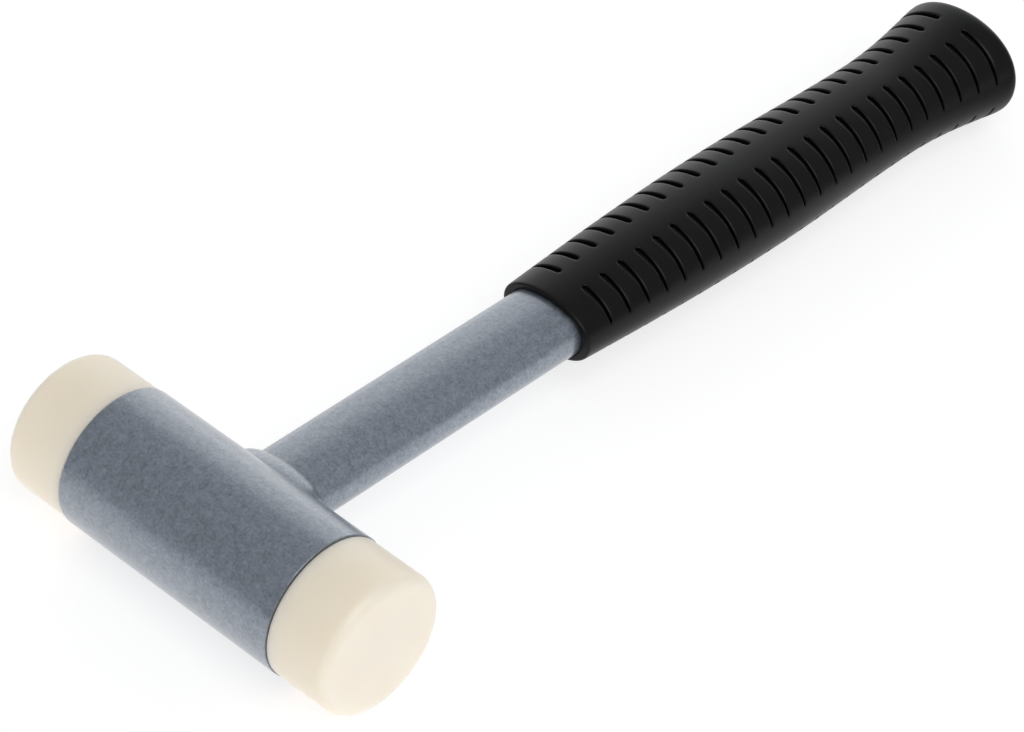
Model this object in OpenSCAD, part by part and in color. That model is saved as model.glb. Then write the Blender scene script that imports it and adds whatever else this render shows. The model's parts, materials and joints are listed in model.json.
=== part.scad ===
// Soft face hammer: a shot-filled head tube with two nylon faces, a welded oval handle and a moulded grip.
// It lies on a bench. X runs along the head, Y from the head to the butt, and Z is up.
// The origin is on the bench, under the middle of the hammer. All sizes are in millimetres and degrees.

/* [Head tube] */
// Outside diameter of the steel head tube
head_d = 40; // [36:0.5:46]
// Length of the head tube
head_len = 73; // [68:0.5:90]
// Wall of the head tube
head_wall = 2.5; // [2:0.1:3.5]
// Chamfer on the two outer ends of the head tube
head_chamfer = 0.4; // [0.2:0.05:0.8]

/* [Nylon faces] */
// Length of each face outside the tube
face_len = 20.5; // [14:0.5:28]
// How far the side of a face lies inside the side of the tube
face_step = 0.3; // [0.1:0.05:0.8]
// Radius round the edge of a striking face
face_edge_r = 3.5; // [1.5:0.1:6]
// Chamfer on the shoulder that meets the tube
face_chamfer = 0.3; // [0.1:0.05:0.6]
// Length of the spigot that is driven into the tube
spigot_len = 12; // [8:0.5:14]
// Barbs along a spigot
barb_count = 3; // [2:1:4]
// Height of a barb above the root of the spigot
barb_height = 0.8; // [0.3:0.1:1.5]
// Gap round a piece that is driven into the tube
seat_clearance = 0.05; // [0.02:0.01:0.1]

/* [Shot chamber] */
// Length of a baffle cup along the head
baffle_len = 5; // [3:0.5:6]
// Sheet thickness of a baffle cup
baffle_t = 1.5; // [1:0.1:2]
// Gap between a baffle cup and the spigot behind it
baffle_gap = 0.2; // [0.1:0.05:0.5]
// Diameter of a steel ball
shot_d = 6; // [5:0.25:7]
// Gap between neighbouring balls
shot_gap = 0.1; // [0.05:0.05:0.3]
// Least gap between the balls and the chamber
shot_clearance = 0.3; // [0.2:0.05:0.6]
// Free travel of the shot each way along the head
shot_travel = 3.5; // [2:0.25:5]
// Angle from the bottom of the chamber up to which it is filled
shot_fill = 100; // [80:1:110]

/* [Handle tube] */
// Width of the oval handle tube, along the head
handle_w = 25; // [22:0.5:27]
// Height of the oval handle tube
handle_h = 15; // [14:0.25:16.5]
// Radius of the oval's two narrow ends
handle_end_r = 6.5; // [5.5:0.1:6.8]
// Wall of the handle tube
handle_wall = 2; // [1.5:0.1:3]
// Length of handle tube inside the grip
handle_in_grip = 160; // [120:1:166]

/* [Weld] */
// How far the bead climbs the handle above the crown of the head
weld_rise = 3.7; // [2.5:0.1:5]
// How far the bead spreads round the handle at its base
weld_leg = 4.5; // [3:0.1:6]
// How deep the bead's outline starts inside the handle, where the handle trims it
weld_root = 0.5; // [0.3:0.05:1]
// Bulge of the bead, from 1, round, to 2, flat
weld_bulge_share = 1.35; // [1:0.05:2]

/* [Grip] */
// Distance from the axis of the head to the front of the grip
grip_start = 117.3; // [100:0.5:140]
// Length of the grip
grip_len = 176.8; // [172:0.1:200]
// Thickness of the front rim beside the handle
grip_rim_w = 2.95; // [2.2:0.05:4]
// Thickness of the front rim above and below the handle
grip_rim_h = 1.75; // [1.5:0.05:3]
// Width of the belly
grip_belly_w = 36; // [34:0.1:40]
// Height of the belly
grip_belly_h = 25.8; // [24:0.1:30]
// Distance from the front of the grip to the belly
grip_belly_at = 77; // [60:1:90]
// Width of the waist
grip_waist_w = 32.7; // [31:0.1:36]
// Height of the waist
grip_waist_h = 25.9; // [23:0.1:28]
// Distance from the front of the grip to the waist
grip_waist_at = 136.5; // [125:0.5:150]
// Width of the flared butt
grip_butt_w = 41; // [36:0.1:44]
// Height of the flared butt
grip_butt_h = 32.3; // [28:0.1:35]
// Radius round the front rim
grip_front_r = 0.7; // [0.5:0.1:1.5]
// Radius round the edge of the butt
grip_butt_r = 3.5; // [2:0.25:6]
// Gap between the grip and the handle tube
grip_fit = 0.05; // [0.02:0.01:0.1]

/* [Grip slots] */
// Slots in each of the four rows
slot_count = 24; // [12:1:24]
// Distance from the front of the grip to the first slot
slot_first = 9.3; // [7:0.1:12]
// Distance from one slot to the next
slot_pitch = 6.87; // [5.5:0.01:7]
// Width of a slot at its mouth
slot_w = 1.6; // [1:0.05:2.2]
// Depth of a slot
slot_depth = 1.5; // [0.8:0.05:1.6]
// Slope of each slot wall, from mouth to floor
slot_draft = 0.2; // [0.1:0.05:0.3]
// Smooth band between the rows along the top and the bottom
spine_w = 7.4; // [6:0.1:12]
// Smooth band between the rows along each side
side_band_h = 7; // [6:0.1:12]

/* [Hidden] */
$fn = 64;

paint = [0.45, 0.48, 0.52];
nylon = [0.93, 0.88, 0.79];
rubber = [0.11, 0.11, 0.12];
steel = [0.68, 0.69, 0.71];
zinc = [0.74, 0.73, 0.68];

// Every cut runs past the face that it opens by this much
overrun = 2;

// Head and shot chamber, measured from the middle of the head along its axis
head_r = head_d / 2;
bore_r = head_r - head_wall;
seat_r = bore_r - seat_clearance;
face_r = head_r - face_step;
face_end = head_len / 2 + face_len;
spigot_end = head_len / 2 - spigot_len;
barb_pitch = spigot_len / (barb_count + 1);
baffle_end = spigot_end - baffle_gap;
chamber_half = baffle_end - baffle_len;
baffle_inner_r = seat_r - baffle_t;

// Balls in rings about the chamber's axis, layer on layer along the head
shot_pitch = shot_d + shot_gap;
shot_outer_r = bore_r - shot_clearance - shot_d / 2;
shot_rings = floor(shot_outer_r / shot_pitch);
shot_room = 2 * (chamber_half - shot_travel - shot_clearance);
shot_layers = floor((shot_room + shot_gap) / shot_pitch);

// Grip, measured along the handle from the axis of the head
grip_end = grip_start + grip_len;
grip_butt_at = grip_len - grip_butt_r;
grip_front_w = handle_w + 2 * grip_rim_w;
grip_front_h = handle_h + 2 * grip_rim_h;
handle_end = grip_start + handle_in_grip;

// The handle dips until the butt rests on the same bench as the head
butt_touch = grip_start + grip_butt_at;
butt_half_h = grip_butt_h / 2;
lie = asin(head_r / norm([butt_touch, butt_half_h])) - atan2(butt_half_h, butt_touch);

// Place of the head's axis that puts the origin under the middle of the hammer
butt_reach = grip_end * cos(lie) + (butt_half_h - grip_butt_r) * sin(lie);
head_y = (head_r - butt_reach) / 2;

// Weld bead, measured along the handle
weld_top = head_r + weld_rise;
weld_low_h = handle_h / 2 + weld_leg;
weld_base = sqrt(head_r * head_r - weld_low_h * weld_low_h) - overrun;
weld_steps = 6;
weld_points = 48;

// Roundness of the sections: 2 is an ellipse, and more is squarer
handle_power_share = 2.3;
grip_power_share = 2.12;

// Corners of one quarter of a grip section: 0 and 1 are the ends of a slot
slot_span_shares = [0, 0.05, 0.275, 0.5, 0.725, 0.95, 1];
// How wide the two ends of a slot are, beside its full width
slot_end_share = 0.5;
quarter_points = len(slot_span_shares) + 3;
grip_points = 4 * quarter_points;
// Rings round the front rim and the butt, from the face to the side
rim_angles = [90, 60, 30, 0];
butt_angles = [0, 25, 50, 70, 90];

// Turns a shape drawn along Z so that it lies along the head, pointing right (1) or left (-1)
module along_head(side) {
    translate([0, head_y, head_r])
        rotate([0, 90 * side, 0])
            children();
}

// Puts a shape drawn along Y from the head's axis onto the dipping handle
module on_handle() {
    translate([0, head_y, head_r])
        rotate([-lie, 0, 0])
            children();
}

// Extrudes an outline along the handle between two distances from the head's axis
module handle_prism(from, to) {
    translate([0, from, 0])
        rotate([-90, 0, 0])
            linear_extrude(to - from)
                children();
}

// Oval of four arcs: two narrow ends and two nearly flat sides that run into them
module oval(w, h, end_r) {
    end_x = w / 2 - end_r;
    rise = h / 2 - end_r;
    side_y = (end_x * end_x - rise * rise) / (2 * rise);
    side_r = side_y + h / 2;
    meet_x = end_x * side_r / (side_r - end_r);
    for (side = [-1, 1])
        translate([side * end_x, 0])
            circle(end_r);
    intersection() {
        translate([0, -side_y])
            circle(side_r);
        translate([0, side_y])
            circle(side_r);
        square([2 * meet_x, h], center = true);
    }
}

// Outline of the handle tube, grown or shrunk all round
module handle_outline(grow) {
    oval(handle_w + 2 * grow, handle_h + 2 * grow, handle_end_r + grow);
}

// The head tube's outside, in the frame of the handle
module head_round() {
    rotate([0, 90, 0])
        cylinder(r = head_r, h = head_len, center = true);
}

// Point of an oval section with half sizes a and b, at an angle from +X towards +Z
function signed_power(v, p) = sign(v) * pow(abs(v), 2 / p);
function section_point(a, b, p, y, angle) = [
    a * signed_power(cos(angle), p), y, b * signed_power(sin(angle), p)
];

// Faces of a closed skin over rings of n points that follow each other along +Y
function loft_faces(rings, n) = concat(
    [[for (i = [n - 1 : -1 : 0]) i]],
    [
        for (k = [0 : rings - 2], i = [0 : n - 1])
            let (j = (i + 1) % n, low = k * n, high = low + n)
                each [[low + i, low + j, high + j], [low + i, high + j, high + i]]
    ],
    [[for (i = [0 : n - 1]) (rings - 1) * n + i]]
);

module loft(rings) {
    polyhedron([for (ring = rings) each ring], loft_faces(len(rings), len(rings[0])));
}

module head_tube() {
    color(paint)
        along_head(1)
            rotate_extrude()
                polygon([
                    [bore_r, -head_len / 2],
                    [head_r - head_chamfer, -head_len / 2],
                    [head_r, head_chamfer - head_len / 2],
                    [head_r, head_len / 2 - head_chamfer],
                    [head_r - head_chamfer, head_len / 2],
                    [bore_r, head_len / 2]
                ]);
}

// Half outline of a spigot: each barb slopes out towards the shoulder and steps back in
module spigot_half() {
    polygon(concat(
        [[0, spigot_end]],
        [
            for (i = [0 : barb_count - 1])
                let (z = spigot_end + i * barb_pitch)
                    each [[seat_r - barb_height, z], [seat_r, z + barb_pitch]]
        ],
        [
            [seat_r - barb_height, spigot_end + barb_count * barb_pitch],
            [seat_r - barb_height, head_len / 2],
            [0, head_len / 2]
        ]
    ));
}

// Half outline of a face outside the tube, with its striking edge rounded by a true arc
module face_half() {
    edge_in = face_r - face_edge_r;
    edge_up = face_end - face_edge_r;
    polygon([
        [0, head_len / 2],
        [face_r - face_chamfer, head_len / 2],
        [face_r, head_len / 2 + face_chamfer],
        [face_r, edge_up],
        [edge_in, edge_up],
        [edge_in, face_end],
        [0, face_end]
    ]);
    intersection() {
        translate([edge_in, edge_up])
            circle(face_edge_r);
        translate([edge_in, edge_up])
            square(face_edge_r);
    }
}

module face(side) {
    color(nylon)
        along_head(side)
            rotate_extrude() {
                spigot_half();
                face_half();
            }
}

module right_face() {
    face(1);
}

module left_face() {
    face(-1);
}

// A pressed cup whose floor keeps the shot in while a face is changed
module baffle(side) {
    color(zinc)
        along_head(side)
            difference() {
                translate([0, 0, chamber_half])
                    cylinder(r = seat_r, h = baffle_len);
                translate([0, 0, chamber_half + baffle_t])
                    cylinder(r = baffle_inner_r, h = baffle_len);
            }
}

module right_baffle() {
    baffle(1);
}

module left_baffle() {
    baffle(-1);
}

// Angle between neighbouring balls of a ring
function shot_step(ring_r) = 2 * asin(shot_pitch / (2 * ring_r));
// Balls on each side of the lowest one of a ring
function shot_side(ring_r) = ring_r < shot_pitch / 2 ? 0 : floor(shot_fill / shot_step(ring_r));

module steel_shot() {
    color(steel)
        translate([0, head_y, head_r])
            for (layer = [0 : shot_layers - 1], ring = [0 : shot_rings]) {
                x = (layer - (shot_layers - 1) / 2) * shot_pitch;
                ring_r = shot_outer_r - ring * shot_pitch;
                beside = shot_side(ring_r);
                for (i = [-beside : beside]) {
                    angle = beside == 0 ? 0 : i * shot_step(ring_r);
                    translate([x, ring_r * sin(angle), -ring_r * cos(angle)])
                        sphere(d = shot_d);
                }
            }
}

// One ring of the bead, from its base (0) to the line where it dies into the handle (1)
function weld_ring(t) =
    let (
        grow = (weld_leg + weld_root) * pow(cos(90 * t), weld_bulge_share) - weld_root,
        y = weld_base + (weld_top - weld_base) * pow(sin(90 * t), weld_bulge_share)
    ) [
        for (i = [0 : weld_points - 1])
            section_point(handle_w / 2 + grow, handle_h / 2 + grow, handle_power_share, y, 360 * i / weld_points)
    ];

module handle_weld() {
    color(paint)
        on_handle()
            difference() {
                loft([for (i = [0 : weld_steps]) weld_ring(i / weld_steps)]);
                head_round();
                handle_prism(0, grip_start)
                    handle_outline(0);
            }
}

module handle_tube() {
    color(paint)
        on_handle()
            difference() {
                handle_prism(0, handle_end)
                    difference() {
                        handle_outline(0);
                        handle_outline(-handle_wall);
                    }
                head_round();
            }
}

// A smooth rise or fall from 0 to 1, and one that is steepest at its end
function ease(t) = (1 - cos(180 * t)) / 2;
function flare(t) = 1 - cos(90 * t);

// Width or height of the grip at a distance s from its front, before its two edges are rounded
function grip_size(s, front, belly, waist, butt) =
    s < grip_belly_at ? front + (belly - front) * sin(90 * s / grip_belly_at) :
    s < grip_waist_at ? belly + (waist - belly) * ease((s - grip_belly_at) / (grip_waist_at - grip_belly_at)) :
    waist + (butt - waist) * flare(min(1, (s - grip_waist_at) / (grip_butt_at - grip_waist_at)));
function grip_half_w(s) = grip_size(s, grip_front_w, grip_belly_w, grip_waist_w, grip_butt_w) / 2;
function grip_half_h(s) = grip_size(s, grip_front_h, grip_belly_h, grip_waist_h, grip_butt_h) / 2;

// Angles of one quarter section, with corners at both ends of a slot
function quarter_angles(a, b) =
    let (
        low = asin(pow(side_band_h / 2 / b, grip_power_share / 2)),
        high = acos(pow(spine_w / 2 / a, grip_power_share / 2))
    ) concat(
        [0, low / 2],
        [for (share = slot_span_shares) low + (high - low) * share],
        [(high + 90) / 2, 90]
    );

// Place of a ring's corner within its quarter, counted from the side of the grip
function quarter_place(i) =
    let (quarter = floor(i / quarter_points), step = i % quarter_points)
        quarter % 2 == 0 ? step : quarter_points - step;
function corner_angle(i, angles) =
    let (quarter = floor(i / quarter_points))
        quarter % 2 == 0 ? 90 * quarter + angles[quarter_place(i)] : 90 * (quarter + 1) - angles[quarter_place(i)];
function slot_place(i) = quarter_place(i) - 2;
function at_slot_end(i) = slot_place(i) == 0 || slot_place(i) == len(slot_span_shares) - 1;
function in_slot(i) = slot_place(i) > 0 && slot_place(i) < len(slot_span_shares) - 1;

// One ring of the grip at s, moved by reach along the grip, shrunk all round, and sunk where slots run
function grip_ring(s, reach = 0, shrink = 0, sink = 0) = [
    for (i = [0 : grip_points - 1])
        let (
            at = s + reach * (at_slot_end(i) ? slot_end_share : 1),
            a = grip_half_w(at) - shrink,
            b = grip_half_h(at) - shrink,
            deep = in_slot(i) ? sink : 0,
            angle = corner_angle(i, quarter_angles(a, b))
        )
            section_point(a - deep, b - deep, grip_power_share, grip_start + at, angle)
];

function slot_rings(s) = [
    grip_ring(s, -slot_w / 2),
    grip_ring(s, slot_draft - slot_w / 2, sink = slot_depth),
    grip_ring(s, slot_w / 2 - slot_draft, sink = slot_depth),
    grip_ring(s, slot_w / 2)
];

// The grip is a loft from its front rim over the slots to its butt, bored for the handle tube
module handle_grip() {
    rings = concat(
        [
            for (angle = rim_angles)
                grip_ring(grip_front_r * (1 - sin(angle)), shrink = grip_front_r * (1 - cos(angle)))
        ],
        [for (i = [0 : slot_count - 1]) each slot_rings(slot_first + i * slot_pitch)],
        [
            for (angle = butt_angles)
                grip_ring(grip_butt_at + grip_butt_r * sin(angle), shrink = grip_butt_r * (1 - cos(angle)))
        ]
    );
    color(rubber)
        on_handle()
            difference() {
                loft(rings);
                handle_prism(grip_start - overrun, handle_end + grip_fit)
                    handle_outline(grip_fit);
            }
}

head_tube();
right_face();
left_face();
right_baffle();
left_baffle();
steel_shot();
handle_weld();
handle_tube();
handle_grip();
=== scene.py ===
"""Looks of a soft face hammer: painted head and handle, nylon faces, and a slotted rubber grip.

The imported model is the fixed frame. Each visible piece gets a finer mesh in the same place, and every
surface gets a finish that is worked out from the piece's own coordinates. Lengths are in metres.
"""

import json
import logging
import math
from collections.abc import Callable, Iterable, Sequence
from dataclasses import dataclass, field
from enum import Enum
from functools import partial

import bmesh
import bpy
from mathutils import Color, Matrix, Vector


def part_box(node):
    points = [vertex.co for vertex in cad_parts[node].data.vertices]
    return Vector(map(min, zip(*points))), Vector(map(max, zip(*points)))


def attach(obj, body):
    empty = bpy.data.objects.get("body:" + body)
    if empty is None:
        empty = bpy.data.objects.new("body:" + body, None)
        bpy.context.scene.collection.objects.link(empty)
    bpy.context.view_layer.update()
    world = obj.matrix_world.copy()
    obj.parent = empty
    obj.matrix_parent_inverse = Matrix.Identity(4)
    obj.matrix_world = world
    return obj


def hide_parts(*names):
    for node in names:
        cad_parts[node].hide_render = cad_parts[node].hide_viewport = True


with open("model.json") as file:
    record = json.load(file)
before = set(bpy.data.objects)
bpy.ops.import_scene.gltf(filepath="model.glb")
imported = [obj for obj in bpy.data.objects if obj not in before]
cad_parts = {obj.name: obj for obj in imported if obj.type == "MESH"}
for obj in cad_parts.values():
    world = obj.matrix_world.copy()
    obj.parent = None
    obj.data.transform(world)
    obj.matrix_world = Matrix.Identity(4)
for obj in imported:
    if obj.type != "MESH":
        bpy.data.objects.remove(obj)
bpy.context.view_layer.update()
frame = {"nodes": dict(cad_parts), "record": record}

MM = 0.001
WELD_DISTANCE = 0.001 * MM
SHARP_ANGLE = math.radians(35)
QUARTER = math.pi / 2
TURN = 2 * math.pi

log = logging.getLogger("hammer")

Colour = tuple[float, float, float]
Places = Callable[[int], Sequence[float]]


class Body(Enum):
    """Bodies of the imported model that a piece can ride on."""

    HAMMER = "hammer"
    SHOT = "shot"


class Side(Enum):
    """Ends of the head, as turns about Z that bring +X to them."""

    RIGHT = 0.0
    LEFT = math.pi

    def node(self, kind: str) -> str:
        """Names the node of one kind at this end."""
        return f"{self.name.lower()}_{kind}"


def linear(colour: Colour) -> tuple[float, float, float, float]:
    """Turns a colour as a screen shows it into the linear colour that a socket takes.

    Args:
        colour: Red, green and blue from 0 to 1.

    Returns:
        Linear red, green and blue, and full alpha.
    """
    return (*Color(colour).from_srgb_to_scene_linear(), 1.0)


class Wire:
    """An output of a shader node, which takes part in sums as a number does."""

    def __init__(self, graph: "Graph", socket: bpy.types.NodeSocket) -> None:
        """Wraps one output socket of a graph."""
        self.graph = graph
        self.socket = socket

    def _math(self, operation: str, first: "Wire | float", second: "Wire | float") -> "Wire":
        """Adds one Math node."""
        return self.graph.add("ShaderNodeMath", {"operation": operation}, {0: first, 1: second})

    def __add__(self, other: "Wire | float") -> "Wire":
        """Adds another value."""
        return self._math("ADD", self, other)

    def __radd__(self, other: float) -> "Wire":
        """Adds to a number."""
        return self._math("ADD", other, self)

    def __sub__(self, other: "Wire | float") -> "Wire":
        """Takes another value away."""
        return self._math("SUBTRACT", self, other)

    def __rsub__(self, other: float) -> "Wire":
        """Takes this value from a number."""
        return self._math("SUBTRACT", other, self)

    def __mul__(self, other: "Wire | float") -> "Wire":
        """Multiplies by another value."""
        return self._math("MULTIPLY", self, other)

    def __rmul__(self, other: float) -> "Wire":
        """Multiplies a number."""
        return self._math("MULTIPLY", other, self)

    def sine(self) -> "Wire":
        """Takes the sine of this value, in radians."""
        return self._math("SINE", self, 0.0)

    def unsigned(self) -> "Wire":
        """Takes this value without its sign."""
        return self._math("ABSOLUTE", self, 0.0)

    def at_most(self, other: "Wire | float") -> "Wire":
        """Takes the smaller of this and another value."""
        return self._math("MINIMUM", self, other)

    def at_least(self, other: "Wire | float") -> "Wire":
        """Takes the larger of this and another value."""
        return self._math("MAXIMUM", self, other)

    def rise(self, start: float, length: float) -> "Wire":
        """Climbs from 0 to 1 over a length of this value, from a start."""
        return ((self - start) * (1 / length)).at_least(0.0).at_most(1.0)


class Graph:
    """The node tree of one material or of the world."""

    def __init__(self, tree: bpy.types.NodeTree) -> None:
        """Empties the tree and holds it."""
        self.tree = tree
        tree.nodes.clear()

    def add(
        self,
        kind: str,
        settings: dict[str, object] | None = None,
        inputs: dict[int | str, object] | None = None,
        output: int | str = 0,
    ) -> Wire:
        """Adds a node, sets it up and feeds its sockets.

        Args:
            kind: The node's type.
            settings: Attributes of the node.
            inputs: Values or wires by socket name or number.
            output: The output to hand back.

        Returns:
            A wire from that output.
        """
        node = self.tree.nodes.new(kind)
        for name, value in (settings or {}).items():
            setattr(node, name, value)
        for name, value in (inputs or {}).items():
            if isinstance(value, Wire):
                self.tree.links.new(value.socket, node.inputs[name])
            else:
                node.inputs[name].default_value = value
        return Wire(self, node.outputs[output] if node.outputs else None)

    def mix(self, share: Wire | float, first: object, second: object) -> Wire:
        """Mixes two colours.

        Args:
            share: How much of the second colour.
            first: Colour or wire at 0.
            second: Colour or wire at 1.

        Returns:
            The mixed colour.
        """
        return self.add("ShaderNodeMix", {"data_type": "RGBA"}, {0: share, 6: first, 7: second}, 2)

    def place(self) -> Wire:
        """Gives the place on the piece, in metres."""
        return self.add("ShaderNodeTexCoord", output="Object")

    def noise(self, place: Wire, grain: float, detail: float = 2.0) -> Wire:
        """Adds a cloudy pattern from 0 to 1.

        Args:
            place: Where the pattern is read.
            grain: Size of one patch.
            detail: How many finer layers it has.

        Returns:
            The pattern's value.
        """
        inputs = {"Vector": place, "Scale": 1 / grain, "Detail": detail}
        return self.add("ShaderNodeTexNoise", {}, inputs)

    def bump(self, height: Wire, distance: float) -> Wire:
        """Turns a height from 0 to 1 into a normal.

        Args:
            height: The height pattern.
            distance: How deep it is.

        Returns:
            The bumped normal.
        """
        return self.add("ShaderNodeBump", {}, {"Height": height, "Distance": distance})

    def finish_surface(self, shader: Wire) -> None:
        """Ends a material's tree in its surface."""
        self.add("ShaderNodeOutputMaterial", {}, {"Surface": shader})


@dataclass(frozen=True)
class Finish:
    """A finish of the hammer's surfaces."""

    name: str
    roughness: float = 0.5
    roughness_spread: float = 0.1

    def material(self) -> bpy.types.Material:
        """Makes the material of this finish.

        Returns:
            The new material.
        """
        made = bpy.data.materials.new(self.name)
        made.use_nodes = True
        graph = Graph(made.node_tree)
        graph.finish_surface(graph.add("ShaderNodeBsdfPrincipled", {}, self.sockets(graph)))
        return made

    def sockets(self, graph: Graph) -> dict[str, object]:
        """Gives the shader's sockets their values.

        Args:
            graph: The tree that patterns are added to.

        Returns:
            Values or wires by socket name.
        """
        raise NotImplementedError

    def uneven(self, pattern: Wire) -> Wire:
        """Spreads the roughness about its mean by a pattern from 0 to 1."""
        return self.roughness + self.roughness_spread * (pattern - 0.5)


@dataclass(frozen=True)
class FlakePaint(Finish):
    """Stoved metallic paint: fine flakes in a slightly dimpled grey film."""

    dark: Colour = (0.251, 0.285, 0.333)
    light: Colour = (0.64, 0.68, 0.732)
    flake: float = 0.7 * MM
    flake_share: float = 0.45
    flake_bump: float = 0.2
    mottle: float = 2.0 * MM
    dimple: float = 1.6 * MM
    dimple_depth: float = 0.012 * MM
    metallic: float = 0.8
    roughness: float = 0.45
    coat_roughness: float = 0.25
    coat_ior: float = 1.8

    def sockets(self, graph: Graph) -> dict[str, object]:
        """Gives flakes their own brightness and the film its dimples.

        Args:
            graph: The tree that patterns are added to.

        Returns:
            Values or wires by socket name.
        """
        place = graph.place()
        flakes = graph.noise(place, self.flake, detail=0.0)
        mottle = graph.noise(place, self.mottle, detail=3.0)
        dimples = graph.noise(place, self.dimple, detail=1.0)
        shade = self.flake_share * flakes + (1 - self.flake_share) * mottle
        height = self.flake_bump * flakes + (1 - self.flake_bump) * dimples
        return {
            "Base Color": graph.mix(shade, linear(self.dark), linear(self.light)),
            "Metallic": self.metallic,
            "Roughness": self.uneven(mottle),
            "Coat Weight": 1.0,
            "Coat Roughness": self.coat_roughness,
            "Coat IOR": self.coat_ior,
            "Normal": graph.bump(height, self.dimple_depth),
        }


@dataclass(frozen=True)
class CastNylon(Finish):
    """Natural nylon: a warm white with soft depth and faint marks of turning on its end; painted shade
    makes the sides warmer and painted light makes the end paler.
    """

    axis: tuple[float, float, float] = (0.0, 0.0, 0.0)
    # Lit and shaded copies of the nylon colour: the sides carry painted shade as a warmer tint, and the end
    # carries painted light as a paler, cooler tint.
    side: Colour = (1.0, 0.93, 0.858)
    shaded_side_cloud: Colour = (0.995, 0.915, 0.838)
    end: Colour = (0.962, 0.929, 0.873)
    lit_end_cloud: Colour = (0.952, 0.909, 0.848)
    lit_end_from: float = 53.5 * MM
    lit_end_fade: float = 3.5 * MM
    cloud_size: float = 9 * MM
    ring_pitch: float = 0.45 * MM
    ring_share: float = 0.5
    ring_depth: float = 0.004 * MM
    grain: float = 0.35 * MM
    roughness: float = 0.38
    roughness_spread: float = 0.08
    translucency: float = 0.8
    scatter: Colour = (1.0, 0.92, 0.84)
    scatter_depth: float = 6 * MM
    ior: float = 1.53

    def sockets(self, graph: Graph) -> dict[str, object]:
        """Adds cloudy warmth, turned rings about the head's axis and a fine grain.

        Args:
            graph: The tree that patterns are added to.

        Returns:
            Values or wires by socket name.
        """
        place = graph.place()
        clouds = graph.noise(place, self.cloud_size, detail=3.0)
        grain = graph.noise(place, self.grain, detail=2.0)
        centred = graph.add("ShaderNodeVectorMath", {"operation": "SUBTRACT"}, {0: place, 1: self.axis})
        flat = graph.add("ShaderNodeVectorMath", {"operation": "MULTIPLY"}, {0: centred, 1: (0, 1, 1)})
        radius = graph.add("ShaderNodeVectorMath", {"operation": "LENGTH"}, {0: flat}, "Value")
        rings = 0.5 + 0.5 * (radius * (TURN / self.ring_pitch)).sine()
        along = graph.add("ShaderNodeSeparateXYZ", {}, {"Vector": centred}, "X").unsigned()
        height = self.ring_share * rings + (1 - self.ring_share) * grain
        # Painted light and shade: the warmer side colour turns into the paler end colour along the head.
        side = graph.mix(clouds, linear(self.side), linear(self.shaded_side_cloud))
        end = graph.mix(clouds, linear(self.end), linear(self.lit_end_cloud))
        return {
            "Base Color": graph.mix(along.rise(self.lit_end_from, self.lit_end_fade), side, end),
            "Roughness": self.uneven(grain),
            "Subsurface Weight": self.translucency,
            "Subsurface Radius": self.scatter,
            "Subsurface Scale": self.scatter_depth,
            "IOR": self.ior,
            "Normal": graph.bump(height, self.ring_depth),
        }


@dataclass(frozen=True)
class MouldedRubber(Finish):
    """Black grip rubber: a satin skin with the fine grain of an eroded mould."""

    dark: Colour = (0.02, 0.02, 0.022)
    light: Colour = (0.045, 0.045, 0.048)
    grain: float = 0.28 * MM
    grain_share: float = 0.5
    grain_depth: float = 0.018 * MM
    bloom: float = 14 * MM
    roughness: float = 0.34
    roughness_spread: float = 0.12
    ior: float = 1.29

    def sockets(self, graph: Graph) -> dict[str, object]:
        """Adds the mould's grain and a cloudy bloom.

        Args:
            graph: The tree that patterns are added to.

        Returns:
            Values or wires by socket name.
        """
        place = graph.place()
        grain = graph.noise(place, self.grain, detail=2.0)
        bloom = graph.noise(place, self.bloom, detail=3.0)
        shade = self.grain_share * grain + (1 - self.grain_share) * bloom
        return {
            "Base Color": graph.mix(shade, linear(self.dark), linear(self.light)),
            "Roughness": self.uneven(bloom),
            "IOR": self.ior,
            "Normal": graph.bump(grain, self.grain_depth),
        }


@dataclass(frozen=True)
class PlatedSheet(Finish):
    """Zinc plate on pressed sheet, with drawing streaks along the head."""

    dark: Colour = (0.62, 0.61, 0.55)
    light: Colour = (0.80, 0.79, 0.74)
    streak: float = 0.5 * MM
    streak_length: float = 6 * MM
    streak_depth: float = 0.006 * MM
    roughness: float = 0.35
    roughness_spread: float = 0.2

    def sockets(self, graph: Graph) -> dict[str, object]:
        """Stretches a noise along the head into streaks.

        Args:
            graph: The tree that patterns are added to.

        Returns:
            Values or wires by socket name.
        """
        scale = (self.streak / self.streak_length, 1.0, 1.0)
        place = graph.add("ShaderNodeMapping", {}, {"Vector": graph.place(), "Scale": scale})
        streaks = graph.noise(place, self.streak, detail=3.0)
        return {
            "Base Color": graph.mix(streaks, linear(self.dark), linear(self.light)),
            "Metallic": 1.0,
            "Roughness": self.uneven(streaks),
            "Normal": graph.bump(streaks, self.streak_depth),
        }


@dataclass(frozen=True)
class HardenedBall(Finish):
    """Bright hardened steel with faint tumbling scuffs."""

    dark: Colour = (0.60, 0.61, 0.63)
    light: Colour = (0.78, 0.79, 0.80)
    scuff: float = 0.7 * MM
    scuff_depth: float = 0.003 * MM
    roughness: float = 0.22
    roughness_spread: float = 0.2

    def sockets(self, graph: Graph) -> dict[str, object]:
        """Scuffs the polish here and there.

        Args:
            graph: The tree that patterns are added to.

        Returns:
            Values or wires by socket name.
        """
        scuffs = graph.noise(graph.place(), self.scuff, detail=4.0)
        return {
            "Base Color": graph.mix(scuffs, linear(self.dark), linear(self.light)),
            "Metallic": 1.0,
            "Roughness": self.uneven(scuffs),
            "Normal": graph.bump(scuffs, self.scuff_depth),
        }


@dataclass(frozen=True)
class Seat:
    """Where a piece belongs: the node that it stands for, its body and its slot in the record."""

    node: str
    slot: str
    body: Body = Body.HAMMER


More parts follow.
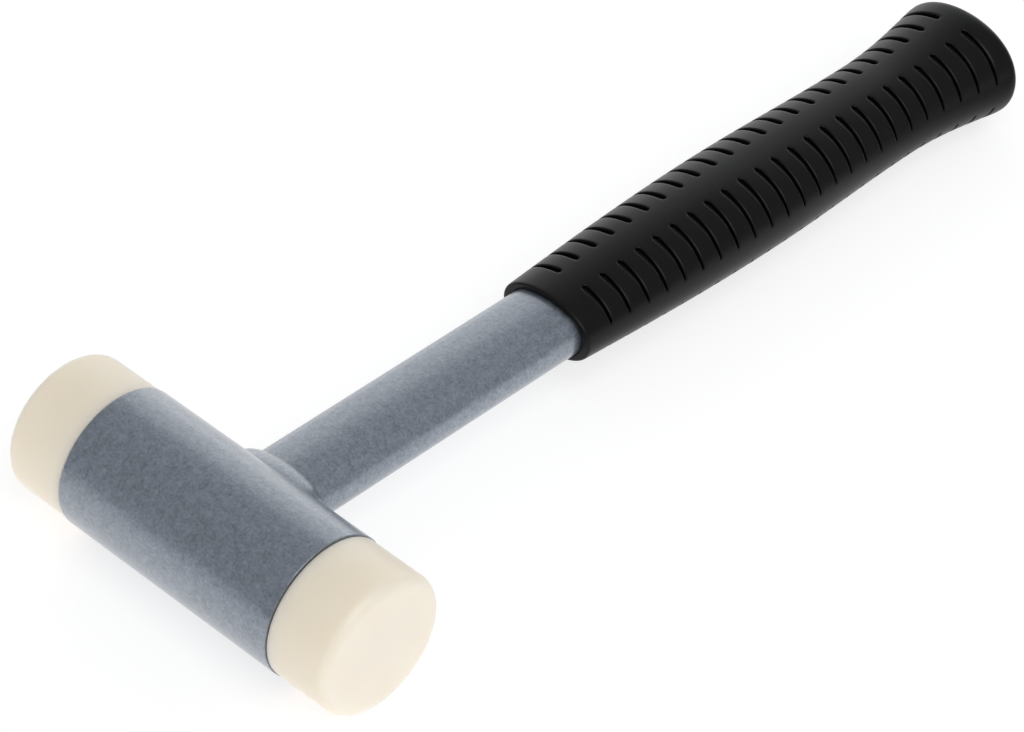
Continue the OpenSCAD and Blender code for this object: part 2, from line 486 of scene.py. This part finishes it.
def make_piece(name: str, shape: bmesh.types.BMesh, place: Matrix, seat: Seat) -> bpy.types.Object:
    """Turns a finished shape into a piece of the hammer.

    Args:
        name: Name of the piece.
        shape: Its mesh in local coordinates, which is freed.
        place: Where those coordinates lie in the frame.
        seat: What it stands for and rides on.

    Returns:
        The new object, at the origin, with its place in its mesh.
    """
    bmesh.ops.remove_doubles(shape, verts=shape.verts[:], dist=WELD_DISTANCE)
    bmesh.ops.recalc_face_normals(shape, faces=shape.faces[:])
    bmesh.ops.transform(shape, matrix=place, verts=shape.verts[:])
    mesh = bpy.data.meshes.new(name)
    shape.to_mesh(mesh)
    shape.free()
    mesh.shade_smooth()
    mesh.set_sharp_from_angle(angle=SHARP_ANGLE)
    piece = bpy.data.objects.new(name, mesh)
    bpy.context.scene.collection.objects.link(piece)
    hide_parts(seat.node)
    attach(piece, seat.body.value)
    log.info("%s stands for %s on %s: %d faces", name, seat.node, seat.body.value, len(mesh.polygons))
    return piece


def even_normals(piece: bpy.types.Object) -> None:
    """Keeps flats flat beside their rounded edges."""
    weighted = piece.modifiers.new("even_normals", "WEIGHTED_NORMAL")
    weighted.keep_sharp = True


def paint_with(piece: bpy.types.Object, material: bpy.types.Material) -> None:
    """Gives a piece one material."""
    piece.data.materials.clear()
    piece.data.materials.append(material)


def revolve(profile: Sequence[tuple[float, float]], steps: int, closed: bool) -> bmesh.types.BMesh:
    """Spins a profile about the X axis.

    Args:
        profile: Places along X and radii, in order.
        steps: Faces round the turn.
        closed: Whether the last point joins the first.

    Returns:
        The revolved shape.
    """
    shape = bmesh.new()
    points = [shape.verts.new((x, 0.0, r)) for x, r in profile]
    ends = points[1:] + points[:1] if closed else points[1:]
    lines = [shape.edges.new(pair) for pair in zip(points, ends)]
    bmesh.ops.spin(
        shape, geom=points + lines, cent=(0, 0, 0), axis=(1, 0, 0), angle=TURN, steps=steps, use_merge=True
    )
    bmesh.ops.remove_doubles(shape, verts=shape.verts[:], dist=WELD_DISTANCE)
    bmesh.ops.recalc_face_normals(shape, faces=shape.faces[:])
    return shape


def round_edge(shape: bmesh.types.BMesh, x: float, radius: float, size: float, segments: int) -> None:
    """Rounds the edge of a revolved shape at one place.

    Args:
        shape: The revolved shape.
        x: Place of the edge along X.
        radius: Radius of the edge.
        size: Radius that it is rounded to.
        segments: Faces across the rounding.
    """

    def on_edge(vert: bmesh.types.BMVert) -> bool:
        """Tells whether a corner lies on the edge."""
        return math.isclose(vert.co.x, x, abs_tol=WELD_DISTANCE) and math.isclose(
            math.hypot(vert.co.y, vert.co.z), radius, abs_tol=WELD_DISTANCE
        )

    edges = [edge for edge in shape.edges if all(on_edge(v) for v in edge.verts)]
    bmesh.ops.bevel(
        shape, geom=edges, offset=size, offset_type="OFFSET", segments=segments,
        profile=0.5, affect="EDGES", material=-1, clamp_overlap=True,
    )


class Lofter:
    """A skin that grows ring by ring, each ring drawn out of the last one."""

    def __init__(self, corners: int) -> None:
        """Starts with one ring of corners that has no place yet.

        Args:
            corners: Corners of every ring.
        """
        self.shape = bmesh.new()
        self.corner = self.shape.verts.layers.int.new("corner")
        self.level = self.shape.verts.layers.int.new("level")
        made = bmesh.ops.create_circle(self.shape, cap_ends=False, radius=1.0, segments=corners)
        for number, vert in enumerate(made["verts"]):
            vert[self.corner] = number
        self.first = made["verts"]
        self.last = made["verts"]
        self.levels = 0

    def put(self, places: Places) -> int:
        """Puts down the next ring.

        Args:
            places: Gives each corner's place by its number.

        Returns:
            The number of the ring.
        """
        if self.levels:
            made = bmesh.ops.extrude_edge_only(self.shape, edges=self.rim(self.last))
            self.last = [item for item in made["geom"] if isinstance(item, bmesh.types.BMVert)]
        for vert in self.last:
            vert.co = places(vert[self.corner])
            vert[self.level] = self.levels
        self.levels += 1
        return self.levels - 1

    def rim(self, verts: Iterable[bmesh.types.BMVert]) -> list[bmesh.types.BMEdge]:
        """Gives the edges that join a ring's corners."""
        own = set(verts)
        return list({edge for vert in own for edge in vert.link_edges if own.issuperset(edge.verts)})

    def cap(self, verts: Sequence[bmesh.types.BMVert]) -> None:
        """Closes a ring with one face."""
        bmesh.ops.contextual_create(self.shape, geom=self.rim(verts))

    def join_ends(self) -> None:
        """Joins the last ring to the first one."""
        bmesh.ops.bridge_loops(self.shape, edges=self.rim(self.first) + self.rim(self.last))


@dataclass
class Oval:
    """Outline of four arcs: two narrow ends and two nearly flat sides."""

    width: float
    height: float
    end_radius: float

    def __post_init__(self) -> None:
        """Works out where the arcs have their centres and where they meet."""
        self.end_x = self.width / 2 - self.end_radius
        rise = self.height / 2 - self.end_radius
        self.side_z = (self.end_x**2 - rise**2) / (2 * rise)
        self.side_radius = self.side_z + self.height / 2
        self.meet_angle = math.atan2(self.side_z, self.end_x)

    def around(self, turn: float, grow: float = 0.0) -> tuple[float, float]:
        """Finds a point of the outline, with points spread evenly over the arcs.

        Args:
            turn: Share of a full turn, from +X towards +Z.
            grow: How far outside the outline.

        Returns:
            X and Z of the point.
        """
        quarter, share = divmod(4 * turn, 1)
        share = share if quarter % 2 == 0 else 1 - share
        on_end = share < 0.5
        low, high = (0.0, self.meet_angle) if on_end else (self.meet_angle, QUARTER)
        angle = low + (high - low) * (2 * share if on_end else 2 * share - 1)
        radius = (self.end_radius if on_end else self.side_radius) + grow
        x = radius * math.cos(angle) + (self.end_x if on_end else 0.0)
        z = radius * math.sin(angle) - (0.0 if on_end else self.side_z)
        return (x if quarter in (0, 3) else -x), (z if quarter < 2 else -z)

    def towards(self, x: float, z: float, grow: float = 0.0) -> tuple[float, float]:
        """Finds the point of the outline in one direction from its middle.

        Args:
            x: Direction along X.
            z: Direction along Z.
            grow: How far outside the outline.

        Returns:
            X and Z of the point.
        """
        across = abs(x) / math.hypot(x, z)
        up = abs(z) / math.hypot(x, z)
        end_radius = self.end_radius + grow
        side_radius = self.side_radius + grow
        reach = across * self.end_x + math.sqrt(max(0.0, end_radius**2 - (self.end_x * up) ** 2))
        if math.atan2(up * reach, across * reach - self.end_x) > self.meet_angle:
            reach = math.sqrt(side_radius**2 - (self.side_z * across) ** 2) - up * self.side_z
        return math.copysign(across * reach, x), math.copysign(up * reach, z)


@dataclass
class Head:
    """The head: its tube, the two nylon faces, the baffle cups and the shot."""

    wall: float = 2.5 * MM
    tube_edge: float = 0.2 * MM
    tube_edge_faces: int = 4
    spigot: float = 12 * MM
    barbs: int = 3
    barb_height: float = 0.8 * MM
    seat_gap: float = 0.05 * MM
    face_edge: float = 3.5 * MM
    face_edge_faces: int = 14
    shoulder_edge: float = 0.15 * MM
    shoulder_edge_faces: int = 2
    groove_width: float = 0.4 * MM
    groove_depth: float = 1.2 * MM
    ball: float = 6 * MM
    ball_gap: float = 0.1 * MM
    ball_detail: int = 3
    chamber_gap: float = 0.3 * MM
    fill_angle: float = math.radians(100)
    ball_layers: int = 5
    steps: int = 160
    pieces: dict[str, bpy.types.Object] = field(default_factory=dict)

    def __post_init__(self) -> None:
        """Reads the tube's place and size from the frame."""
        low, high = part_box("head_tube")
        self.middle = (low + high) / 2
        self.radius = (high.z - low.z) / 2
        self.half_length = (high.x - low.x) / 2
        self.bore = self.radius - self.wall
        self.place = Matrix.Translation(self.middle)

    def build(self) -> None:
        """Makes the pieces of the head that the scene models."""
        self.pieces["tube"] = self.build_tube()
        for side in Side:
            self.pieces[side.node("face")] = self.build_face(side)
        self.pieces["shot"] = self.build_shot()

    def build_tube(self) -> bpy.types.Object:
        """Spins the tube's wall and rounds its two outer ends.

        Returns:
            The tube.
        """
        end = self.half_length
        profile = [(-end, self.bore), (-end, self.radius), (end, self.radius), (end, self.bore)]
        shape = revolve(profile, self.steps, closed=True)
        for x in (-end, end):
            round_edge(shape, x, self.radius, self.tube_edge, self.tube_edge_faces)
        piece = make_piece("head_tube_painted", shape, self.place, Seat("head_tube", "grey_paint"))
        even_normals(piece)
        return piece

    def build_face(self, side: Side) -> bpy.types.Object:
        """Spins a nylon face with its barbed spigot and rounds its edges.

        Args:
            side: The end of the head that it is driven into.

        Returns:
            The face.
        """
        node = side.node("face")
        low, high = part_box(node)
        tip = max(abs(low.x), abs(high.x))
        side_radius = (high.z - low.z) / 2
        inner = self.half_length - self.spigot
        seat = self.bore - self.seat_gap
        pitch = self.spigot / (self.barbs + 1)
        root = seat - self.barb_height
        profile = [(inner, 0.0)]
        for number in range(self.barbs):
            profile += [(inner + number * pitch, root), (inner + (number + 1) * pitch, seat)]
        profile += [(inner + self.barbs * pitch, root), (self.half_length, root)]
        shoulder = self.half_length + self.groove_width
        groove_radius = side_radius - self.groove_depth
        profile += [(self.half_length, groove_radius), (shoulder, groove_radius)]
        profile += [(shoulder, side_radius), (tip, side_radius), (tip, 0.0)]
        shape = revolve(profile, self.steps, closed=False)
        round_edge(shape, tip, side_radius, self.face_edge, self.face_edge_faces)
        round_edge(shape, shoulder, side_radius, self.shoulder_edge, self.shoulder_edge_faces)
        turn = Matrix.Rotation(side.value, 4, "Z")
        piece = make_piece(node + "_nylon", shape, self.place @ turn, Seat(node, "nylon"))
        even_normals(piece)
        return piece

    def build_shot(self) -> bpy.types.Object:
        """Piles the steel balls in rings about the chamber's axis.

        Returns:
            The balls, as one piece.
        """
        shape = bmesh.new()
        pitch = self.ball + self.ball_gap
        outer = self.bore - self.chamber_gap - self.ball / 2
        for layer in range(self.ball_layers):
            x = (layer - (self.ball_layers - 1) / 2) * pitch
            for ring in range(int(outer / pitch) + 1):
                self._lay_ring(shape, x, outer - ring * pitch, pitch)
        seat = Seat("steel_shot", "bright_steel", Body.SHOT)
        return make_piece("steel_shot_balls", shape, self.place, seat)

    def _lay_ring(self, shape: bmesh.types.BMesh, x: float, radius: float, pitch: float) -> None:
        """Lays one ring of balls, from its lowest one up both sides.

        Args:
            shape: The mesh that the balls are added to.
            x: Place of the ring along the head.
            radius: Radius of the ring.
            pitch: Distance from ball to ball.
        """
        step = 2 * math.asin(pitch / (2 * radius)) if radius > pitch / 2 else TURN
        beside = int(self.fill_angle / step)
        for number in range(-beside, beside + 1):
            angle = number * step
            centre = Vector((x, radius * math.sin(angle), -radius * math.cos(angle)))
            where = Matrix.Translation(centre)
            bmesh.ops.create_icosphere(
                shape, subdivisions=self.ball_detail, radius=self.ball / 2, matrix=where
            )

    def dress(self, paint: bpy.types.Material) -> None:
        """Gives the head its finishes.

        Args:
            paint: The paint that the head shares with the handle.
        """
        nylon = CastNylon("natural_nylon", axis=tuple(self.middle)).material()
        plate = PlatedSheet("zinc_plate").material()
        paint_with(self.pieces["tube"], paint)
        for side in Side:
            paint_with(self.pieces[side.node("face")], nylon)
            paint_with(frame["nodes"][side.node("baffle")], plate)
        paint_with(self.pieces["shot"], HardenedBall("hardened_ball").material())


@dataclass
class Handle:
    """The oval handle tube and the weld bead at its foot."""

    head: Head
    outline: Oval = field(default_factory=lambda: Oval(25 * MM, 15 * MM, 6.5 * MM))
    wall: float = 2 * MM
    end: float = 277.3 * MM
    weld_rise: float = 3.7 * MM
    weld_leg: float = 3.2 * MM
    weld_root: float = 0.3 * MM
    weld_bulge: float = 1.35
    weld_rows: int = 14
    weld_corners: int = 192
    ripple_count: int = 30
    ripple_slant: float = 0.35
    ripple: float = 0.025 * MM
    corners: int = 96
    pieces: dict[str, bpy.types.Object] = field(default_factory=dict)

    def __post_init__(self) -> None:
        """Reads the handle's direction from the frame's clip mount."""
        mounts = {mount["name"]: mount for mount in frame["record"]["mounts"]}
        along = Vector(mounts["handle_clip"]["axis"]).normalized()
        across = Vector((1, 0, 0))
        turned = Matrix((across, along, across.cross(along))).transposed()
        self.place = self.head.place @ turned.to_4x4()

    def build(self) -> None:
        """Makes the tube and the bead."""
        self.pieces["tube"] = self.build_tube()
        self.pieces["weld"] = self.build_weld()

    def on_head(self, z: float) -> float:
        """Gives the distance along the handle at which the head's round begins at a height."""
        return math.sqrt(self.head.radius**2 - z**2)

    def build_tube(self) -> bpy.types.Object:
        """Draws the tube out along the handle, with its foot coped to the head.

        Returns:
            The tube.
        """
        loft = Lofter(self.corners)
        for grow, coped in ((0, True), (0, False), (-self.wall, False), (-self.wall, True)):
            loft.put(partial(self._tube_place, grow=grow, coped=coped))
        loft.join_ends()
        piece = make_piece("handle_tube_painted", loft.shape, self.place, Seat("handle_tube", "grey_paint"))
        even_normals(piece)
        return piece

    def build_weld(self) -> bpy.types.Object:
        """Draws the bead from its toe on the head up to the line where it dies into the handle.

        Returns:
            The bead.
        """
        loft = Lofter(self.weld_corners)
        for row in range(self.weld_rows + 1):
            loft.put(partial(self._weld_place, share=row / self.weld_rows))
        loft.put(self._weld_root_place)
        loft.join_ends()
        return make_piece("weld_bead_painted", loft.shape, self.place, Seat("handle_weld", "grey_paint"))

    def _tube_place(self, corner: int, grow: float, coped: bool) -> Sequence[float]:
        """Places one corner at one end of one wall of the tube."""
        x, z = self.outline.around(corner / self.corners, grow)
        return x, self.on_head(z) if coped else self.end, z

    def _weld_place(self, corner: int, share: float) -> Sequence[float]:
        """Places one corner of a row of the bead.

        Args:
            corner: Number of the corner.
            share: Where the row lies, from 0 at the toe to 1 at the top.

        Returns:
            The place, with the ripples of the bead.
        """
        turn = corner / self.weld_corners
        out = math.cos(QUARTER * share) ** self.weld_bulge
        up = math.sin(QUARTER * share) ** self.weld_bulge
        swell = self.ripple * math.sin(math.pi * share)
        wave = math.sin(TURN * (self.ripple_count * turn + self.ripple_slant * share))
        grow = (self.weld_leg + self.weld_root) * out - self.weld_root + swell * wave
        x, z = self.outline.around(turn, grow)
        toe = self.on_head(self.outline.around(turn, self.weld_leg)[1]) - self.weld_root
        top = self.head.radius + self.weld_rise
        return x, toe + (top - toe) * up, z

    def _weld_root_place(self, corner: int) -> Sequence[float]:
        """Places one corner of the bead's hidden root, inside the handle's wall and the head's."""
        x, z = self.outline.around(corner / self.weld_corners, -self.weld_root)
        return x, self.on_head(z) - self.weld_root, z

    def dress(self, paint: bpy.types.Material) -> None:
        """Paints the handle and its bead."""
        for piece in self.pieces.values():
            paint_with(piece, paint)


@dataclass(frozen=True)
class Stretch:
    """One of the grip's two sizes along its length, as half sizes."""

    front: float
    belly: float
    waist: float
    butt: float


@dataclass
class Grip:
    """The moulded grip: a loft with a belly, a waist and a flared butt, and four rows of slots."""

    handle: Handle
    start: float = 117.3 * MM
    length: float = 176.8 * MM
    half_width: Stretch = Stretch(15.45 * MM, 18 * MM, 16.35 * MM, 20.5 * MM)
    half_height: Stretch = Stretch(9.25 * MM, 12.9 * MM, 12.95 * MM, 16.15 * MM)
    belly_at: float = 77 * MM
    waist_at: float = 136.5 * MM
    front_radius: float = 0.7 * MM
    front_angles: tuple[int, ...] = (90, 65, 40, 18, 0)
    butt_radius: float = 3.5 * MM
    butt_angles: tuple[int, ...] = (0, 20, 42, 66, 90)
    roundness: float = 2.12
    fit: float = 0.05 * MM
    slots: int = 24
    slot_first: float = 9.3 * MM
    slot_pitch: float = 6.87 * MM
    slot_width: float = 2.1 * MM
    slot_lip: float = 0.1 * MM
    slot_draft: float = 0.05 * MM
    slot_depth: float = 1.4 * MM
    slot_end_share: float = 0.42
    spine: float = 7.4 * MM
    side_band: float = 7.0 * MM
    band_steps: int = 2
    slot_steps: int = 8
    smooth_levels: int = 1
    piece: bpy.types.Object | None = None

    def __post_init__(self) -> None:
        """Counts the corners of a section."""
        self.quarter = 2 * self.band_steps + self.slot_steps
        self.corners = 4 * self.quarter
        self.butt_at = self.length - self.butt_radius

    def size(self, along: float, sizes: Stretch) -> float:
        """Gives half the width or height at a distance from the front.

        Args:
            along: Distance from the front.
            sizes: The half sizes at the front, belly, waist and butt.

        Returns:
            The half size there, before the ends are rounded.
        """
        if along < self.belly_at:
            return sizes.front + (sizes.belly - sizes.front) * math.sin(QUARTER * along / self.belly_at)
        if along < self.waist_at:
            share = (along - self.belly_at) / (self.waist_at - self.belly_at)
            return sizes.belly + (sizes.waist - sizes.belly) * (1 - math.cos(math.pi * share)) / 2
        share = min(1.0, (along - self.waist_at) / (self.butt_at - self.waist_at))
        return sizes.waist + (sizes.butt - sizes.waist) * (1 - math.cos(QUARTER * share))

    def step_of(self, corner: int) -> tuple[int, int]:
        """Gives a corner's quarter, and its step from the side of the grip towards its top or bottom."""
        quarter, step = divmod(corner, self.quarter)
        return quarter, step if quarter % 2 == 0 else self.quarter - step

    def angle(self, corner: int, half_w: float, half_h: float) -> float:
        """Gives the angle of a corner on a section, so that slots end at the smooth bands.

        Args:
            corner: Number of the corner.
            half_w: Half width of the section.
            half_h: Half height of the section.

        Returns:
            The angle from +X towards +Z.
        """
        power = self.roundness / 2
        low = math.asin((self.side_band / 2 / half_h) ** power)
        high = math.acos((self.spine / 2 / half_w) ** power)
        quarter, step = self.step_of(corner)
        if step <= self.band_steps:
            angle = low * step / self.band_steps
        elif step <= self.band_steps + self.slot_steps:
            angle = low + (high - low) * (step - self.band_steps) / self.slot_steps
        else:
            angle = high + (QUARTER - high) * (step - self.band_steps - self.slot_steps) / self.band_steps
        return QUARTER * quarter + angle if quarter % 2 == 0 else QUARTER * (quarter + 1) - angle

    def section(self, along: float, reach: float = 0.0, shrink: float = 0.0) -> Places:
        """Gives the places of one section.

        Args:
            along: Distance from the front.
            reach: How far it is moved along the grip, less and less towards the side.
            shrink: How much smaller it is all round.

        Returns:
            A function from a corner's number to its place.
        """

        def places(corner: int) -> Sequence[float]:
            """Places one corner.

            Args:
                corner: Number of the corner.

            Returns:
                The corner's place.
            """
            step = min(max(self.step_of(corner)[1] - self.band_steps, 0), self.slot_steps)
            taper = self.slot_end_share + (1 - self.slot_end_share) * step / self.slot_steps
            at = along + reach * taper
            half_w = self.size(at, self.half_width) - shrink
            half_h = self.size(at, self.half_height) - shrink
            angle = self.angle(corner, half_w, half_h)
            x = half_w * math.copysign(abs(math.cos(angle)) ** (2 / self.roundness), math.cos(angle))
            z = half_h * math.copysign(abs(math.sin(angle)) ** (2 / self.roundness), math.sin(angle))
            return x, self.start + at, z

        return places

    def bore(self, along: float, grow: float) -> Places:
        """Gives the places of one ring of the bore.

        Args:
            along: Distance from the front.
            grow: How much wider than the handle.

        Returns:
            A function from a corner's number to its place.
        """
        front = self.section(0.0, shrink=self.front_radius)

        def places(corner: int) -> Sequence[float]:
            """Places one corner in line with the front rim's.

            Args:
                corner: Number of the corner.

            Returns:
                The corner's place.
            """
            outer = front(corner)
            x, z = self.handle.outline.towards(outer[0], outer[2], grow)
            return x, self.start + along, z

        return places

    def build(self) -> None:
        """Lofts the grip from the bottom of its bore round the rim to the butt, and sinks the slots."""
        loft = Lofter(self.corners)
        depth = self.handle.end - self.start + self.fit
        loft.put(self.bore(depth, self.fit))
        loft.put(self.bore(depth - self.front_radius, self.fit))
        loft.put(self.bore(self.front_radius, self.fit))
        loft.put(self.bore(0.0, self.fit))
        for angle in self.front_angles:
            self._put_rounded(loft, math.radians(angle), at_front=True)
        mouths = []
        for number in range(self.slots):
            middle = self.slot_first + number * self.slot_pitch
            loft.put(self.section(middle - self.slot_pitch / 2))
            low = loft.put(self.section(middle, -self.slot_width / 2))
            high = loft.put(self.section(middle, self.slot_width / 2))
            mouths.append((low, high))
        for angle in self.butt_angles:
            self._put_rounded(loft, math.radians(angle), at_front=False)
        loft.cap(loft.first)
        loft.cap(loft.last)
        self._sink_slots(loft, mouths)
        self.piece = make_piece(
            "grip_rubber", loft.shape, self.handle.place, Seat("handle_grip", "black_rubber")
        )
        smooth = self.piece.modifiers.new("smooth", "SUBSURF")
        smooth.levels = self.smooth_levels
        smooth.render_levels = self.smooth_levels

    def _put_rounded(self, loft: Lofter, angle: float, at_front: bool) -> None:
        """Puts down one ring of a rounded end, at an angle from the side towards the end face.

        Args:
            loft: The grip so far.
            angle: The angle, in radians.
            at_front: Whether it is the front end or the butt.
        """
        radius = self.front_radius if at_front else self.butt_radius
        shrink = radius * (1 - math.cos(angle))
        inwards = radius * (1 - math.sin(angle))
        loft.put(self.section(inwards if at_front else self.length - inwards, shrink=shrink))

    def _sink_slots(self, loft: Lofter, mouths: Sequence[tuple[int, int]]) -> None:
        """Sinks every slot: a rounded lip, a sloping wall and a rounded floor.

        Args:
            loft: The whole grip.
            mouths: The rings at the two long sides of each row of slots.
        """
        rows = []
        for quarter in range(4):
            steps = range(self.band_steps, self.band_steps + self.slot_steps + 1)
            first = quarter * self.quarter
            rows.append({first + (s if quarter % 2 == 0 else self.quarter - s) for s in steps})
        mouth_of = dict(mouths)
        floors = []
        bmesh.ops.recalc_face_normals(loft.shape, faces=loft.shape.faces[:])
        for face in loft.shape.faces:
            levels = {v[loft.level] for v in face.verts}
            corners = {v[loft.corner] for v in face.verts}
            if mouth_of.get(min(levels)) == max(levels) and any(corners <= row for row in rows):
                floors.append(face)
        cuts = (
            (self.slot_lip, 0.0),
            (self.slot_draft, self.slot_depth),
            (self.slot_lip, self.slot_lip),
        )
        for inset, depth in cuts:
            bmesh.ops.inset_region(
                loft.shape, faces=floors, thickness=inset, depth=-depth,
                use_boundary=True, use_even_offset=True,
            )

    def dress(self) -> None:
        """Gives the grip its rubber."""
        paint_with(self.piece, MouldedRubber("grip_rubber_black").material())


@dataclass
class Softbox:
    """A large soft lamp that faces the hammer."""

    name: str
    azimuth: float
    elevation: float
    distance: float
    width: float
    height: float
    power: float
    mirrored: bool = True

    def build(self, aim: Vector) -> None:
        """Hangs the lamp so that it looks at a point.

        Args:
            aim: That point.
        """
        lamp = bpy.data.lights.new(self.name, "AREA")
        lamp.shape = "RECTANGLE"
        lamp.size = self.width
        lamp.size_y = self.height
        lamp.energy = self.power
        holder = bpy.data.objects.new(self.name, lamp)
        away = towards(self.azimuth, self.elevation)
        holder.location = aim + away * self.distance
        holder.rotation_euler = (-away).to_track_quat("-Z", "Y").to_euler()
        holder.visible_camera = False
        holder.visible_glossy = self.mirrored
        bpy.context.scene.collection.objects.link(holder)


def towards(azimuth: float, elevation: float) -> Vector:
    """Gives the direction of a viewpoint: azimuth 0 is at -Y, and 90 at +X.

    Args:
        azimuth: Degrees round the hammer.
        elevation: Degrees above the floor.

    Returns:
        A unit vector from the hammer.
    """
    turn = math.radians(azimuth)
    rise = math.radians(elevation)
    return Vector((math.sin(turn) * math.cos(rise), -math.cos(turn) * math.cos(rise), math.sin(rise)))


@dataclass
class Studio:
    """The pale floor, the soft light and the camera."""

    floor_radius: float = 6.0
    floor_corners: int = 96
    wall_height: float = 0.8
    floor_colour: Colour = (0.985, 0.985, 0.985)
    floor_glow: float = 0.74
    floor_shade: Colour = (0.635, 0.635, 0.635)
    # Painted shade seen only in reflections of the floor: a darker band in front and a dark patch at the
    # right back corner.
    reflection_shade_front: float = -0.22
    reflection_shade_fade: float = 0.2
    front_reflection_shade: Colour = (0.58, 0.59, 0.6)
    shade_corner_back: float = 0.08
    shade_corner_back_fade: float = 0.035
    shade_corner_slant: float = 0.75
    shade_corner_right_fade: float = 0.06
    corner_reflection_shade: Colour = (0.25, 0.25, 0.26)
    ambient: float = 0.443
    ambient_tint: tuple[float, ...] = (0.96, 0.98, 1.0, 1.0)
    table_rise: float = 0.1 * MM
    aim: Vector = field(default_factory=lambda: Vector((4.155, -36.725, 16.04)) * MM)
    camera_azimuth: float = 40.905
    camera_elevation: float = 41.035
    camera_roll: float = 3.769
    camera_distance: float = 1055.97 * MM
    camera_lens: float = 143.1
    camera_sensor: float = 36.0
    camera_near: float = 0.05
    camera_far: float = 50.0

    def build(self) -> None:
        """Sets the stage."""
        scene = bpy.context.scene
        scene.view_settings.view_transform = "Standard"
        self.build_floor()
        self.build_world()
        self.build_camera()
        for box in self.boxes():
            box.build(self.aim)

    def boxes(self) -> tuple[Softbox, ...]:
        """Gives the lamps: a key, one from behind, and the glow of the table on the undersides.

        Returns:
            The lamps.
        """
        drop = self.aim.z - self.table_rise
        return (
            Softbox(
                "key_softbox", azimuth=66, elevation=56, distance=2.6, width=1.8, height=1.8, power=27.8
            ),
            Softbox(
                "back_softbox", azimuth=221, elevation=20, distance=2.8, width=3.6, height=2.2, power=17
            ),
            Softbox(
                "table_softbox", azimuth=0, elevation=-90, distance=drop, width=1.2, height=1.2,
                power=1.65, mirrored=False,
            ),
        )

    def build_floor(self) -> None:
        """Lays a round pale floor that turns up into a low wall."""
        shape = bmesh.new()
        bmesh.ops.create_circle(
            shape, cap_ends=True, radius=self.floor_radius, segments=self.floor_corners
        )
        rim = [edge for edge in shape.edges if edge.is_boundary]
        drawn = bmesh.ops.extrude_edge_only(shape, edges=rim)
        raised = [item for item in drawn["geom"] if isinstance(item, bmesh.types.BMVert)]
        bmesh.ops.translate(shape, verts=raised, vec=(0, 0, self.wall_height))
        mesh = bpy.data.meshes.new("studio_floor")
        shape.to_mesh(mesh)
        shape.free()
        floor = bpy.data.objects.new("studio_floor", mesh)
        bpy.context.scene.collection.objects.link(floor)
        paint_with(floor, self.floor_material())

    def floor_material(self) -> bpy.types.Material:
        """Makes a white floor that keeps shadows, with painted shade in its reflections in front and at one
        corner.

        Returns:
            The floor's material.
        """
        made = bpy.data.materials.new("pale_floor")
        made.use_nodes = True
        graph = Graph(made.node_tree)
        seen = graph.add("ShaderNodeLightPath", output="Is Camera Ray")
        mirrored = graph.add("ShaderNodeLightPath", output="Is Glossy Ray")
        through = graph.add("ShaderNodeLightPath", output="Is Transmission Ray")
        looked_at = (seen + mirrored + through).at_most(1.0)
        shade = graph.mix(looked_at, linear(self.floor_colour), linear(self.floor_shade))
        lit = graph.add("ShaderNodeBsdfDiffuse", {}, {"Color": shade})
        right = graph.add("ShaderNodeSeparateXYZ", {}, {"Vector": graph.place()}, output="X")
        back = graph.add("ShaderNodeSeparateXYZ", {}, {"Vector": graph.place()}, output="Y")
        # Painted shade in reflections: glossy rays see the floor darker in front and at the right back
        # corner.
        front = 1.0 - back.rise(self.reflection_shade_front - self.reflection_shade_fade, self.reflection_shade_fade)
        behind = (back - self.shade_corner_slant * right).rise(self.shade_corner_back, self.shade_corner_back_fade)
        corner = behind * right.rise(0.0, self.shade_corner_right_fade)
        shaded_reflection = graph.mix(mirrored * front, (1, 1, 1, 1), linear(self.front_reflection_shade))
        shaded_reflection = graph.mix(mirrored * corner, shaded_reflection, linear(self.corner_reflection_shade))
        colour = graph.mix(looked_at, (0, 0, 0, 1), shaded_reflection)
        glow = graph.add("ShaderNodeEmission", {}, {"Color": colour, "Strength": self.floor_glow})
        graph.finish_surface(graph.add("ShaderNodeAddShader", {}, {0: lit, 1: glow}))
        return made

    def build_world(self) -> None:
        """Fills the room with dim even light."""
        world = bpy.data.worlds.new("studio_air")
        world.use_nodes = True
        graph = Graph(world.node_tree)
        inputs = {"Color": self.ambient_tint, "Strength": self.ambient}
        air = graph.add("ShaderNodeBackground", {}, inputs)
        graph.add("ShaderNodeOutputWorld", {}, {"Surface": air})
        bpy.context.scene.world = world

    def build_camera(self) -> None:
        """Puts the camera at the photograph's viewpoint."""
        data = bpy.data.cameras.new("camera")
        data.sensor_width = self.camera_sensor
        data.lens = self.camera_lens
        data.clip_start = self.camera_near
        data.clip_end = self.camera_far
        camera = bpy.data.objects.new("camera", data)
        away = towards(self.camera_azimuth, self.camera_elevation)
        level = (-away).to_track_quat("-Z", "Y").to_matrix().to_4x4()
        roll = Matrix.Rotation(math.radians(self.camera_roll), 4, "Z")
        camera.matrix_world = Matrix.Translation(self.aim + away * self.camera_distance) @ level @ roll
        bpy.context.scene.collection.objects.link(camera)
        bpy.context.scene.camera = camera


def main() -> None:
    """Builds the stage and the hammer, and dresses it."""
    logging.basicConfig(level=logging.INFO)
    Studio().build()
    paint = FlakePaint("grey_flake_paint").material()
    head = Head()
    handle = Handle(head)
    grip = Grip(handle)
    head.build()
    head.dress(paint)
    handle.build()
    handle.dress(paint)
    grip.build()
    grip.dress()


if __name__ == "__main__":
    main()
